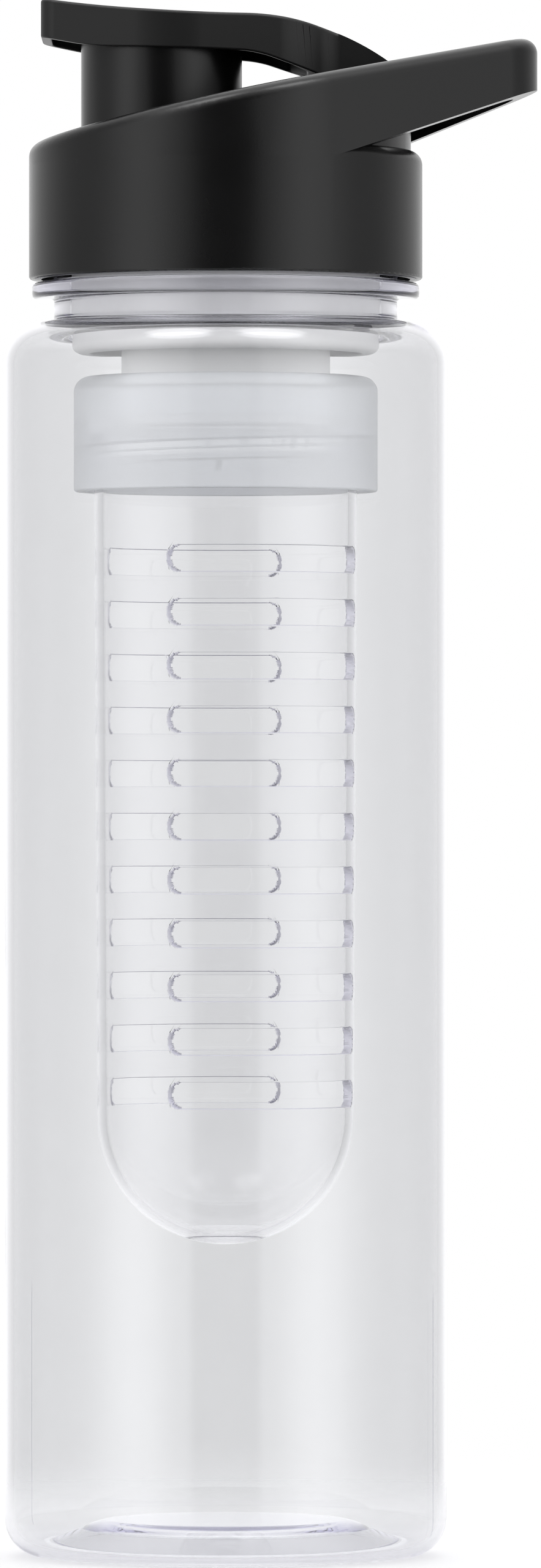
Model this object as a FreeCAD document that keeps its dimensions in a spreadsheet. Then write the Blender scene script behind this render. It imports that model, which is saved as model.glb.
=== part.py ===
import FreeCAD, Part
import os
import re
import Sketcher

# Fruit infuser water bottle: a clear bottle with a screw cap that carries a flip lid over a
# drinking spout, and an infuser basket that hangs from the bottle's mouth inside it.
# The bottle's axis is Z, the foot ring stands on Z = 0, and the carry loop points along +X.

# Cutting shapes run this far past what they cut, in millimetres.
PAST = "1"
# Points this near to a face, in millimetres, lie on it.
ON_FACE = 0.001
# Places along an edge at which it is compared with a face.
EDGE_SAMPLES = 5

doc = FreeCAD.newDocument("fruit_infuser_bottle")
sheet = doc.addObject("Spreadsheet::Sheet", "Sizes")

# Driving sizes in millimetres and degrees.
SIZES = {
    # bottle
    "body_od": 73.0,
    "bottle_wall": 1.5,
    "base_round": 6.2,
    "foot_ring_width": 2.6,
    "punt_slope_run": 6.4,
    "punt_height": 4.0,
    "floor_thick": 2.0,
    "shoulder_top": 203.8,
    "shoulder_round": 7.0,
    "shoulder_ledge": 1.1,
    "neck_wall": 2.65,
    "neck_show": 3.7,
    "flange_reach": 3.65,
    "flange_thick": 2.7,
    "finish_land": 2.85,
    # screw thread between bottle and cap
    "cap_lead": 4.5,
    "cap_turns": 1.5,
    "cap_ridge_depth": 1.5,
    "cap_ridge_root": 2.2,
    "cap_ridge_crest": 1.2,
    "cap_ridge_lift": 5.6,
    "cap_thread_gap": 0.6,
    # gaskets and infuser holder
    "rim_gasket_thick": 1.0,
    "cap_gasket_thick": 1.5,
    "gasket_width": 3.2,
    "gasket_inset": 0.2,
    "plug_gap": 0.3,
    "plug_wall": 1.6,
    "plug_depth": 27.7,
    "plug_lip_round": 2.0,
    "plug_lip_width": 3.05,
    "holder_flange_thick": 1.5,
    "holder_recess": 2.8,
    "holder_floor": 1.6,
    "tube_inset": 8.2,
    "tube_wall": 1.6,
    "tube_drop": 12.3,
    # infuser collar
    "collar_gap": 0.65,
    "collar_wall": 1.5,
    "collar_round": 2.5,
    "collar_plate": 2.0,
    "collar_height": 19.0,
    "collar_hang": 4.0,
    "sleeve_gap": 0.08,
    "sleeve_wall": 1.55,
    "sleeve_length": 6.7,
    # infuser basket and its screw thread
    "basket_lead": 4.0,
    "basket_turns": 1.5,
    "basket_ridge_depth": 1.3,
    "basket_ridge_root": 1.8,
    "basket_ridge_crest": 1.0,
    "basket_rim_land": 1.4,
    "basket_thread_gap": 0.5,
    "basket_rim_gap": 0.6,
    "basket_wall": 1.5,
    "basket_draft": 0.6,
    "basket_floor_gap": 45.6,
    "basket_floor_half": 9.25,
    "basket_gate_half": 3.0,
    "slot_height": 4.3,
    "slot_side_inset": 4.5,
    "slot_pitch": 8.79,
    "slot_first_drop": 19.3,
    "slot_dome_reach": 2.0,
    "slot_turn": 23.5,
    # cap
    "cap_lift": 0.6,
    "skirt_wall": 2.0,
    "skirt_edge_round": 0.5,
    "deck_thick": 2.6,
    "deck_round": 2.3,
    "turret_inset": 1.9,
    "shell_wall": 2.2,
    # carry loop
    "loop_reach": 19.0,
    "loop_tip_round": 10.0,
    "loop_band": 4.0,
    "loop_tilt": 12.2,
    "loop_rise": 8.0,
    "loop_under_tilt": 20.1,
    "loop_under_drop": 8.8,
    "loop_edge_round": 2.4,
    "finger_edge_round": 0.8,
    # drinking spout and its seal
    "spout_margin": 6.7,
    "spout_od": 26.6,
    "spout_wall": 1.8,
    "spout_height": 18.9,
    "spout_rim_round": 0.6,
    "seal_gap": 0.3,
    "seal_flange": 1.0,
    "seal_overlap": 1.1,
    "seal_plug_gap": 0.3,
    "seal_plug_depth": 2.5,
    "seal_taper": 0.9,
    "seal_plug_wall": 2.0,
    # flip lid and its hinge
    "lid_wall": 1.7,
    "lid_roof": 1.85,
    "lid_spout_gap": 0.8,
    "lid_nose_round": 5.0,
    "lid_nose_reach": 14.8,
    "lid_saddle_reach": 13.6,
    "lid_saddle_round": 210.0,
    "lid_waist_run": 6.1,
    "lid_waist_half": 12.6,
    "lid_skirt_front": 0.5,
    "lid_skirt_back": 3.5,
    "lid_bend_reach": 16.5,
    "strap_half": 7.5,
    "strap_lift": 1.0,
    "strap_front_gap": 0.4,
    "hinge_margin": 5.6,
    "hinge_sink": 4.1,
    "knuckle_round": 5.2,
    "knuckle_gap": 0.5,
    "pin_od": 3.0,
    "pin_fit": 0.02,
    "pin_play": 0.08,
    "pocket_front_gap": 4.3,
    "pocket_side_gap": 0.4,
    "ear_thick": 2.6,
}

# Sizes that follow from the driving ones: radii, heights above the table and tangent directions.
FOLLOWING = {
    "body_r": "body_od / 2",
    "inside_r": "body_r - bottle_wall",
    "neck_r": "body_r - shoulder_round - shoulder_ledge",
    "bore_r": "neck_r - neck_wall",
    "flange_r": "neck_r + flange_reach",
    "punt_r": "body_r - base_round - foot_ring_width",
    "punt_top_r": "punt_r - punt_slope_run",
    "floor_z": "punt_height + floor_thick",
    "flange_z": "shoulder_top + neck_show",
    "flange_top": "flange_z + flange_thick",
    "cap_ridge_z": "flange_top + cap_ridge_lift",
    "rim_z": "cap_ridge_z + cap_turns * cap_lead + finish_land",
    "neck_crest_r": "neck_r + cap_ridge_depth",
    "skirt_in_r": "neck_crest_r + cap_thread_gap",
    "cap_crest_r": "neck_r + cap_thread_gap",
    "cap_nut_z": "cap_ridge_z - cap_lead / 2",
    "holder_z": "rim_z + rim_gasket_thick",
    "holder_top": "holder_z + holder_flange_thick",
    "deck_under": "holder_top + cap_gasket_thick",
    "gasket_r": "neck_r - gasket_inset",
    "gasket_in_r": "gasket_r - gasket_width",
    "plug_r": "bore_r - plug_gap",
    "plug_in_r": "plug_r - plug_wall",
    "plug_z": "holder_z - plug_depth",
    "lip_in_r": "plug_r - plug_lip_width",
    "recess_z": "plug_z + holder_recess",
    "cup_floor_z": "recess_z + holder_floor",
    "tube_r": "plug_r - tube_inset",
    "tube_in_r": "tube_r - tube_wall",
    "tube_end": "plug_z - tube_drop",
    "collar_r": "bore_r - collar_gap",
    "collar_in_r": "collar_r - collar_wall",
    "collar_top": "plug_z - collar_hang",
    "collar_z": "collar_top - collar_height",
    "sleeve_r": "tube_r + sleeve_gap",
    "sleeve_out_r": "sleeve_r + sleeve_wall",
    "basket_rim": "tube_end - basket_rim_gap",
    "basket_crest_r": "collar_in_r - basket_thread_gap",
    "basket_top_r": "basket_crest_r - basket_ridge_depth",
    "collar_crest_r": "basket_top_r + basket_thread_gap",
    "basket_r": "basket_top_r - basket_draft",
    "basket_in_r": "basket_r - basket_wall",
    "basket_z": "floor_z + basket_floor_gap",
    "dome_z": "basket_z + sqrt(basket_r ^ 2 - basket_gate_half ^ 2)",
    "basket_floor_z": "dome_z - sqrt(basket_in_r ^ 2 - basket_floor_half ^ 2)",
    "basket_ridge_z": "basket_rim - basket_rim_land - basket_turns * basket_lead",
    "collar_nut_z": "basket_ridge_z + basket_lead / 2",
    "slot_half_span": "basket_r - slot_side_inset",
    "slot_end_r": "slot_height / 2",
    "slot_straight": "slot_half_span - slot_end_r",
    "slot_first_z": "basket_rim - slot_first_drop - slot_height",
    "slot_steps": "floor((slot_first_z - dome_z + slot_dome_reach) / slot_pitch)",
    "slot_run": "slot_steps * slot_pitch",
    "cap_z": "flange_top + cap_lift",
    "skirt_r": "skirt_in_r + skirt_wall",
    "deck_top": "deck_under + deck_thick",
    "turret_r": "skirt_r - turret_inset",
    "loop_tip_x": "skirt_r + loop_reach - loop_tip_round",
    "loop_end": "loop_tip_x + loop_tip_round + " + PAST,
    "loop_cos": "(skirt_r - loop_tip_round) / loop_tip_x",
    "loop_sin": "sqrt(1 - loop_cos ^ 2)",
    "loop_slope": "tan(loop_tilt)",
    "loop_top": "deck_top + loop_rise",
    "loop_bend": "min(loop_edge_round; (loop_band - finger_edge_round) * 3 / 4)",
    "under_slope": "tan(loop_under_tilt)",
    "under_z": "deck_top - loop_under_drop",
    "under_x": "(deck_under - under_z) / under_slope",
    "high_z": "loop_top + loop_end * loop_slope",
    "spout_r": "spout_od / 2",
    "spout_x": "spout_r + spout_margin - turret_r",
    "spout_bore_r": "spout_r - spout_wall",
    "spout_top": "deck_top + spout_height",
    "seal_z": "spout_top + seal_gap",
    "seat_z": "seal_z + seal_flange",
    "seal_r": "spout_bore_r + seal_overlap",
    "seal_plug_r": "spout_bore_r - seal_plug_gap",
    "seal_tip_r": "seal_plug_r - seal_taper",
    "seal_tip_z": "spout_top - seal_plug_depth",
    "lid_top": "seat_z + lid_roof",
    "saddle_x": "spout_x + lid_saddle_reach",
    "head_r": "spout_r + lid_spout_gap + lid_wall",
    "nose_x": "spout_x - lid_nose_reach",
    "lid_tip": "nose_x - lid_nose_round - " + PAST,
    "nose_cos": "(head_r - lid_nose_round) / lid_nose_reach",
    "nose_sin": "sqrt(1 - nose_cos ^ 2)",
    "hinge_x": "turret_r - hinge_margin",
    "hinge_z": "loop_top + hinge_x * loop_slope - hinge_sink",
    "hinge_dx": "hinge_x - saddle_x",
    "hinge_dz": "lid_top - hinge_z",
    "back_round": "(hinge_dx ^ 2 + hinge_dz ^ 2 - knuckle_round ^ 2) / 2 / (hinge_dz - knuckle_round)",
    "knuckle_left": "hinge_x - knuckle_round",
    "pocket_x": "knuckle_left - pocket_front_gap",
    "pocket_half": "strap_half + pocket_side_gap",
    "pocket_z": "hinge_z - knuckle_round - knuckle_gap",
    "ear_half": "pocket_half + ear_thick",
    "pin_r": "pin_od / 2",
    "bend_x": "spout_x + lid_bend_reach",
    "bend_z": "spout_top - lid_skirt_back",
    "front_z": "spout_top - lid_skirt_front",
    "strap_x": "pocket_x - strap_front_gap",
    "strap_z": "loop_top + strap_x * loop_slope + strap_lift",
    "waist_x": "strap_x - lid_waist_run",
    "lid_waist_reach": "waist_x - spout_x",
    "core_end": "strap_x - lid_wall",
    "back_centre_z": "lid_top - back_round",
    "back_turn": "90 deg - atan2(back_round - hinge_dz; hinge_dx)",
    "core_turn": "asin((core_end - saddle_x) / (back_round - lid_roof))",
    "saddle_centre_z": "lid_top + lid_saddle_round",
    "saddle_turn": "asin((saddle_x - lid_tip) / lid_saddle_round)",
    "roof_turn": "asin((saddle_x - lid_tip) / (lid_saddle_round + lid_roof))",
    "nose_top": "saddle_centre_z - lid_saddle_round * cos(saddle_turn)",
}


def fill_sheet():
    """Write every size into its own named cell."""
    row = 0
    for name, value in SIZES.items():
        row += 1
        sheet.set("A%d" % row, name)
        sheet.set("B%d" % row, repr(value))
        sheet.setAlias("B%d" % row, name)
    for name, formula in FOLLOWING.items():
        row += 1
        sheet.set("A%d" % row, name)
        sheet.set("B%d" % row, "=" + formula)
        sheet.setAlias("B%d" % row, name)
    doc.recompute()


def bound(text):
    """Turn size names in an expression into references to the sheet."""
    def cell(match):
        word = match.group()
        known = word in SIZES or word in FOLLOWING
        return "Sizes." + word if known else word
    return re.sub(r"[A-Za-z_]+", cell, text)


def number(text):
    """The present value of an expression."""
    return float(sheet.evalExpression(bound(text)))


def new_sketch(body, role, height="0"):
    """A sketch on one of the body's own origin planes, raised along the plane's normal."""
    sketch = body.newObject("Sketcher::SketchObject", body.Name + "_sketch")
    plane = [f for f in body.Origin.OriginFeatures if f.Role == role][0]
    sketch.AttachmentSupport = (plane, [""])
    sketch.MapMode = "FlatFace"
    sketch.setExpression("AttachmentOffset.Base.z", bound(height))
    return sketch


def draw_outline(sketch, corners, arcs=None):
    """A closed outline through corners; arcs maps a side's index to its radius and a point on it.

    A half circle has no radius of its own: it is tangent to the side before it.
    """
    arcs = arcs or {}
    spots = [FreeCAD.Vector(number(x), number(y), 0) for x, y in corners]
    count = len(spots)
    ends = []
    for i in range(count):
        start, end = spots[i], spots[(i + 1) % count]
        clockwise = False
        if i in arcs:
            middle = FreeCAD.Vector(number(arcs[i][1]), number(arcs[i][2]), 0)
            clockwise = (middle - start).cross(end - middle).z < 0
            sides = (end, middle, start) if clockwise else (start, middle, end)
            sketch.addGeometry(Part.Arc(*sides))
        else:
            sketch.addGeometry(Part.LineSegment(start, end))
        ends.append((2, 1) if clockwise else (1, 2))
    for i in range(count):
        follower = (i + 1) % count
        half_circle = follower in arcs and arcs[follower][0] is None
        kind = "Tangent" if half_circle else "Coincident"
        sketch.addConstraint(Sketcher.Constraint(kind, i, ends[i][1], follower, ends[follower][0]))
    for i in range(count):
        place_point(sketch, i, ends[i][0], spots[i], corners[i])
    for i in arcs:
        if arcs[i][0] is not None:
            radius = sketch.addConstraint(Sketcher.Constraint("Radius", i, number(arcs[i][0])))
            sketch.setExpression("Constraints[%d]" % radius, bound(arcs[i][0]))


def arc_point(centre_x, centre_z, radius, direction):
    """The point of a circle that lies in a direction from its centre, in degrees."""
    reach = "(%s) + (%s) * %s(%s)"
    return reach % (centre_x, radius, "cos", direction), reach % (centre_z, radius, "sin", direction)


def bend(centre_x, centre_z, radius, direction):
    """An arc of an outline: its radius and the point on it that lies in a direction."""
    return (radius, *arc_point(centre_x, centre_z, radius, direction))


def place_point(sketch, curve, point, spot, texts):
    """Tie one point of a curve to its two distances from the sketch's origin."""
    for kind, value, text in zip(("DistanceX", "DistanceY"), (spot.x, spot.y), texts):
        tie = sketch.addConstraint(Sketcher.Constraint(kind, -1, 1, curve, point, value))
        sketch.setExpression("Constraints[%d]" % tie, bound(text))


def lathe(label, corners, arcs=None):
    """A body turned about Z from a half section in the XZ plane."""
    body = doc.addObject("PartDesign::Body", label)
    sketch = new_sketch(body, "XZ_Plane")
    draw_outline(sketch, corners, arcs)
    turned = body.newObject("PartDesign::Revolution", label + "_turned")
    turned.Profile = sketch
    turned.ReferenceAxis = (sketch, ["V_Axis"])
    turned.Angle = 360
    return body


def plate(label, corners, arcs, bottom, top):
    """A body raised along Z from a plan outline."""
    body = doc.addObject("PartDesign::Body", label)
    sketch = new_sketch(body, "XY_Plane", bottom)
    draw_outline(sketch, corners, arcs)
    raised = body.newObject("PartDesign::Pad", label + "_raised")
    raised.Profile = sketch
    raised.setExpression("Length", bound("(%s) - (%s)" % (top, bottom)))
    return body


def slab(label, corners, arcs, half_width):
    """A body spread to both sides along Y from a side outline in the XZ plane."""
    body = doc.addObject("PartDesign::Body", label)
    sketch = new_sketch(body, "XZ_Plane")
    draw_outline(sketch, corners, arcs)
    spread = body.newObject("PartDesign::Pad", label + "_spread")
    spread.Profile = sketch
    spread.SideType = "Symmetric"
    spread.setExpression("Length", bound("2 * (%s)" % half_width))
    return body


def ridge(body, root_r, crest_r, sink_r, middle, root, crest, lead, turns):
    """A right-hand screw ridge: its section wound up about Z from the XZ plane."""
    sketch = new_sketch(body, "XZ_Plane")
    corners = [
        (sink_r, "%s - %s / 2" % (middle, root)),
        (root_r, "%s - %s / 2" % (middle, root)),
        (crest_r, "%s - %s / 2" % (middle, crest)),
        (crest_r, "%s + %s / 2" % (middle, crest)),
        (root_r, "%s + %s / 2" % (middle, root)),
        (sink_r, "%s + %s / 2" % (middle, root)),
    ]
    draw_outline(sketch, corners)
    wound = body.newObject("PartDesign::AdditiveHelix", body.Name + "_ridge")
    wound.Profile = sketch
    wound.ReferenceAxis = (sketch, ["V_Axis"])
    wound.Mode = "pitch-turns-angle"
    wound.setExpression("Pitch", bound(lead))
    wound.setExpression("Turns", bound(turns))
    return wound


def post(label, radius, bottom, top, x="0"):
    """A round post along Z."""
    round_post = doc.addObject("Part::Cylinder", label)
    round_post.setExpression("Radius", bound(radius))
    round_post.setExpression("Height", bound("(%s) - (%s)" % (top, bottom)))
    round_post.setExpression("Placement.Base.x", bound(x))
    round_post.setExpression("Placement.Base.z", bound(bottom))
    return round_post


def rod(label, radius, half_length):
    """A round rod along Y on the lid's hinge axis."""
    round_rod = doc.addObject("Part::Cylinder", label)
    round_rod.Placement.Rotation = FreeCAD.Rotation(FreeCAD.Vector(1, 0, 0), -90)
    round_rod.setExpression("Radius", bound(radius))
    round_rod.setExpression("Height", bound("2 * (%s)" % half_length))
    round_rod.setExpression("Placement.Base.x", bound("hinge_x"))
    round_rod.setExpression("Placement.Base.y", bound("-(%s)" % half_length))
    round_rod.setExpression("Placement.Base.z", bound("hinge_z"))
    return round_rod


def combine(kind, label, base, tool):
    """One boolean step, such as Part::Cut, between two objects."""
    result = doc.addObject(kind, label)
    result.Base = base
    result.Tool = tool
    result.Refine = True
    doc.recompute()
    return result


def round_edges(label, base, edges, radius):
    """Round the numbered edges of an object to one radius."""
    rounded = doc.addObject("Part::Fillet", label)
    rounded.Base = base
    rounded.Edges = [(index, number(radius), number(radius)) for index in edges]
    doc.recompute()
    return rounded


def edge_numbers(shape, wanted):
    """Numbers, as fillets count them, of the edges for which wanted(edge) is true."""
    return [i + 1 for i, edge in enumerate(shape.Edges) if wanted(edge)]


def edge_points(edge):
    """A few points along an edge, its ends among them."""
    return edge.discretize(Number=EDGE_SAMPLES)


def teardrop(inset):
    """Plan of the carry loop: the cap's circle drawn out by two tangents to a round tip."""
    big = "(skirt_r - %s)" % inset
    small = "(loop_tip_round - %s)" % inset
    near = ("%s * loop_cos" % big, "%s * loop_sin" % big)
    far = ("loop_tip_x + %s * loop_cos" % small, "%s * loop_sin" % small)
    corners = [
        (near[0], "-" + near[1]),
        (far[0], "-" + far[1]),
        far,
        near,
    ]
    arcs = {
        1: (small, "loop_tip_x + " + small, "0"),
        3: (big, "-" + big, "0"),
    }
    return corners, arcs


def make_bottle():
    """Clear bottle: foot ring round a punt, straight wall, round shoulder, collar flange, screw neck."""
    corners = [
        ("0", "punt_height"),
        ("punt_top_r", "punt_height"),
        ("punt_r", "0"),
        ("body_r - base_round", "0"),
        ("body_r", "base_round"),
        ("body_r", "shoulder_top - shoulder_round"),
        ("body_r - shoulder_round", "shoulder_top"),
        ("neck_r", "shoulder_top"),
        ("neck_r", "flange_z"),
        ("flange_r", "flange_z"),
        ("flange_r", "flange_top"),
        ("neck_r", "flange_top"),
        ("neck_r", "rim_z"),
        ("bore_r", "rim_z"),
        ("bore_r", "shoulder_top - bottle_wall"),
        ("body_r - shoulder_round", "shoulder_top - bottle_wall"),
        ("inside_r", "shoulder_top - shoulder_round"),
        ("inside_r", "base_round"),
        ("body_r - base_round", "bottle_wall"),
        ("punt_r + bottle_wall", "bottle_wall"),
        ("punt_top_r", "floor_z"),
        ("0", "floor_z"),
    ]
    base = ("body_r - base_round", "base_round")
    shoulder = ("body_r - shoulder_round", "shoulder_top - shoulder_round")
    arcs = {
        3: bend(*base, "base_round", "-45"),
        5: bend(*shoulder, "shoulder_round", "45"),
        15: bend(*shoulder, "shoulder_round - bottle_wall", "45"),
        17: bend(*base, "base_round - bottle_wall", "-45"),
    }
    bottle = lathe("bottle_body", corners, arcs)
    ridge(bottle, "neck_r", "neck_crest_r", "neck_r - neck_wall / 4", "cap_ridge_z",
          "cap_ridge_root", "cap_ridge_crest", "cap_lead", "cap_turns")
    return bottle


def make_ring(label, inner_r, outer_r, bottom, top):
    """A flat gasket ring."""
    return lathe(label, [(inner_r, bottom), (outer_r, bottom), (outer_r, top), (inner_r, top)])


def make_holder():
    """White holder: a flange over the mouth, a cup that plugs the neck and a tube for the collar."""
    corners = [
        ("plug_in_r", "holder_top"),
        ("plug_in_r", "cup_floor_z"),
        ("tube_in_r", "cup_floor_z"),
        ("tube_in_r", "tube_end"),
        ("tube_r", "tube_end"),
        ("tube_r", "recess_z"),
        ("lip_in_r", "recess_z"),
        ("lip_in_r", "plug_z"),
        ("plug_r - plug_lip_round", "plug_z"),
        ("plug_r", "plug_z + plug_lip_round"),
        ("plug_r", "holder_z"),
        ("gasket_r", "holder_z"),
        ("gasket_r", "holder_top"),
    ]
    arcs = {
        8: bend("plug_r - plug_lip_round", "plug_z + plug_lip_round", "plug_lip_round", "-45"),
    }
    return lathe("infuser_holder", corners, arcs)


def make_collar():
    """Frosted collar: a sleeve that turns on the holder's tube and a nut for the basket."""
    corners = [
        ("sleeve_r", "collar_top - sleeve_length"),
        ("sleeve_out_r", "collar_top - sleeve_length"),
        ("sleeve_out_r", "collar_top - collar_plate"),
        ("collar_in_r", "collar_top - collar_plate"),
        ("collar_in_r", "collar_z"),
        ("collar_r", "collar_z"),
        ("collar_r", "collar_top - collar_round"),
        ("collar_r - collar_round", "collar_top"),
        ("sleeve_r", "collar_top"),
    ]
    arcs = {
        6: bend("collar_r - collar_round", "collar_top - collar_round", "collar_round", "45"),
    }
    collar = lathe("infuser_collar", corners, arcs)
    ridge(collar, "collar_in_r", "collar_crest_r", "collar_in_r + collar_wall / 4", "collar_nut_z",
          "basket_ridge_root", "basket_ridge_crest", "basket_lead", "basket_turns")
    collar.setExpression("Placement.Rotation.Angle", bound("slot_turn"))
    return collar


def make_basket():
    """Clear basket: a tall cup with a domed end, rows of slots pulled one way and a screw rim."""
    corners = [
        ("0", "basket_z"),
        ("basket_gate_half", "basket_z"),
        ("basket_r", "dome_z"),
        ("basket_top_r", "basket_rim"),
        ("basket_top_r - basket_wall", "basket_rim"),
        ("basket_in_r", "dome_z"),
        ("basket_floor_half", "basket_floor_z"),
        ("0", "basket_floor_z"),
    ]
    arcs = {
        1: bend("0", "dome_z", "basket_r", "-45"),
        5: bend("0", "dome_z", "basket_in_r", "-30"),
    }
    basket = lathe("infuser_basket", corners, arcs)
    ridge(basket, "basket_top_r - basket_draft / 4", "basket_crest_r", "basket_top_r - basket_wall / 2",
          "basket_ridge_z", "basket_ridge_root", "basket_ridge_crest", "basket_lead", "basket_turns")
    outline = [
        ("-slot_straight", "slot_first_z"),
        ("slot_straight", "slot_first_z"),
        ("slot_straight", "slot_first_z + slot_height"),
        ("-slot_straight", "slot_first_z + slot_height"),
    ]
    ends = {
        1: (None, "slot_half_span", "slot_first_z + slot_end_r"),
        3: (None, "-slot_half_span", "slot_first_z + slot_end_r"),
    }
    sketch = new_sketch(basket, "XZ_Plane")
    draw_outline(sketch, outline, ends)
    doc.recompute()
    slots = basket.newObject("PartDesign::Pocket", "slot_pair")
    slots.Profile = sketch
    slots.SideType = "Symmetric"
    slots.setExpression("Length", bound("4 * basket_top_r"))
    doc.recompute()
    rows = basket.newObject("PartDesign::LinearPattern", "slot_rows")
    rows.Originals = [slots]
    rows.Direction = (sketch, ["V_Axis"])
    rows.Reversed = True
    rows.setExpression("Length", bound("slot_run"))
    rows.setExpression("Occurrences", bound("slot_steps + 1"))
    basket.Tip = rows
    basket.setExpression("Placement.Rotation.Angle", bound("slot_turn"))
    doc.recompute()
    return basket


def loop_top_at(x):
    """Height of the cap's sloping top plane at x."""
    return "(loop_top + (%s) * loop_slope)" % x


def loop_under_at(x):
    """Height of the carry loop's sloping underside at x."""
    return "(under_z + (%s) * under_slope)" % x


def make_wedge():
    """Upper part of the cap: a sloping turret run into the band of the carry loop."""
    outer, outer_arcs = teardrop("0")
    inner, inner_arcs = teardrop("loop_band")
    band = combine("Part::Cut", "loop_ring",
                   plate("loop_outline", outer, outer_arcs, "deck_under", "high_z"),
                   plate("loop_finger_hole", inner, inner_arcs, "deck_under - " + PAST, "high_z + " + PAST))
    left = "(-skirt_r - %s)" % PAST
    band_side = slab("loop_side", [
        (left, "deck_under"),
        ("under_x", "deck_under"),
        ("loop_end", loop_under_at("loop_end")),
        ("loop_end", loop_top_at("loop_end")),
        (left, loop_top_at(left)),
    ], None, "skirt_r + " + PAST)
    loop = combine("Part::Common", "loop_band", band, band_side)
    turret_side = slab("turret_side", [
        (left, "deck_under"),
        ("skirt_r", "deck_under"),
        ("skirt_r", loop_top_at("skirt_r")),
        (left, loop_top_at(left)),
    ], None, "skirt_r + " + PAST)
    turret = combine("Part::Common", "turret",
                     post("turret_round", "turret_r", "deck_under", "high_z"), turret_side)
    eased = round_edges("loop_eased", loop, top_rim(loop.Shape, 0), "finger_edge_round")
    wedge = combine("Part::Fuse", "wedge", eased, turret)
    return round_edges("wedge_rounded", wedge, top_rim(wedge.Shape, -1), "loop_bend")


def top_rim(shape, rank):
    """Numbers of the edges of one closed rim on the cap's sloping top; rims rank by size."""
    top = number("loop_top")
    slope = number("loop_slope")

    def on_top(edge):
        return all(abs(p.z - top - slope * p.x) < ON_FACE for p in edge_points(edge))

    rims = [wire for face in shape.Faces for wire in face.Wires if all(map(on_top, wire.Edges))]
    rims.sort(key=lambda wire: wire.BoundBox.DiagonalLength)
    return edge_numbers(shape, lambda edge: any(edge.isSame(other) for other in rims[rank].Edges))


def make_cap():
    """Black screw cap: skirt, deck, sloping turret with carry loop, spout, hinge pocket and thread."""
    skirt = lathe("skirt", [
        ("0", "cap_z"),
        ("skirt_r - skirt_edge_round", "cap_z"),
        ("skirt_r", "cap_z + skirt_edge_round"),
        ("skirt_r", "deck_top - deck_round"),
        ("skirt_r - deck_round", "deck_top"),
        ("0", "deck_top"),
    ], {
        1: bend("skirt_r - skirt_edge_round", "cap_z + skirt_edge_round", "skirt_edge_round", "-45"),
        3: bend("skirt_r - deck_round", "deck_top - deck_round", "deck_round", "45"),
    })
    spout = lathe("spout", [
        ("0", "deck_under"),
        ("spout_r", "deck_under"),
        ("spout_r", "spout_top - spout_rim_round"),
        ("spout_r - spout_rim_round", "spout_top"),
        ("0", "spout_top"),
    ], {2: bend("spout_r - spout_rim_round", "spout_top - spout_rim_round", "spout_rim_round", "45")})
    spout.setExpression("Placement.Base.x", bound("spout_x"))
    full = combine("Part::Fuse", "cap_full", combine("Part::Fuse", "cap_top", make_wedge(), skirt), spout)

    left = "(-skirt_r)"
    core_side = slab("core_side", [
        (left, "deck_under - " + PAST),
        ("skirt_r", "deck_under - " + PAST),
        ("skirt_r", loop_top_at("skirt_r") + " - shell_wall"),
        (left, loop_top_at(left) + " - shell_wall"),
    ], None, "skirt_r")
    core = combine("Part::Common", "core_round",
                   post("core_post", "gasket_in_r", "deck_under - " + PAST, "high_z"), core_side)
    pocket_wall = slab("pocket_wall", [
        ("pocket_x - shell_wall", "deck_under - 2 * " + PAST),
        ("skirt_r", "deck_under - 2 * " + PAST),
        ("skirt_r", "high_z"),
        ("pocket_x - shell_wall", "high_z"),
    ], None, "ear_half")
    hollow = combine("Part::Cut", "core", core, pocket_wall)
    mouth = combine("Part::Fuse", "cap_inside", hollow,
                    post("skirt_inside", "skirt_in_r", "cap_z - " + PAST, "deck_under"))
    bore = post("spout_bore", "spout_bore_r", "deck_under - " + PAST, "spout_top + " + PAST, "spout_x")
    flow = combine("Part::Fuse", "cap_flow", mouth, bore)
    pocket = slab("hinge_pocket", [
        ("pocket_x", "pocket_z"),
        ("skirt_r + " + PAST, "pocket_z"),
        ("skirt_r + " + PAST, "high_z"),
        ("pocket_x", "high_z"),
    ], None, "pocket_half")
    open_cap = combine("Part::Cut", "cap_open", full, flow)
    hinged = combine("Part::Cut", "cap_pocketed", open_cap, pocket)
    drilled = combine("Part::Cut", "cap_drilled", hinged, rod("pin_hole", "pin_r + pin_fit", "ear_half"))
    thread = doc.addObject("PartDesign::Body", "cap_thread")
    ridge(thread, "skirt_in_r", "cap_crest_r", "skirt_in_r + skirt_wall / 4", "cap_nut_z",
          "cap_ridge_root", "cap_ridge_crest", "cap_lead", "cap_turns")
    return combine("Part::Fuse", "screw_cap", drilled, thread)


def lid_plan(inset, tail):
    """Plan of the lid: a pointed nose, a round head over the spout and flanks in to the tail's corners."""
    nose = "(lid_nose_round - %s)" % inset
    head = "(head_r - %s)" % inset
    half = "(lid_waist_half - %s)" % inset
    reach = "hypot(lid_waist_reach; %s)" % half
    angle = "(atan2(%s; lid_waist_reach) + acos(min(1; %s / %s)))" % (half, head, reach)
    upper = tail + [
        ("waist_x", half),
        arc_point("spout_x", "0", head, angle),
        ("spout_x - %s * nose_cos" % head, "%s * nose_sin" % head),
        ("nose_x - %s * nose_cos" % nose, "%s * nose_sin" % nose),
    ]
    lower = [(x, "-(%s)" % y) for x, y in reversed(upper)]
    last = len(upper) - 1
    arcs = {
        last - 2: (head, "spout_x", head),
        last: (nose, "nose_x - " + nose, "0"),
        last + 2: (head, "spout_x", "-" + head),
    }
    return upper + lower, arcs


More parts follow.
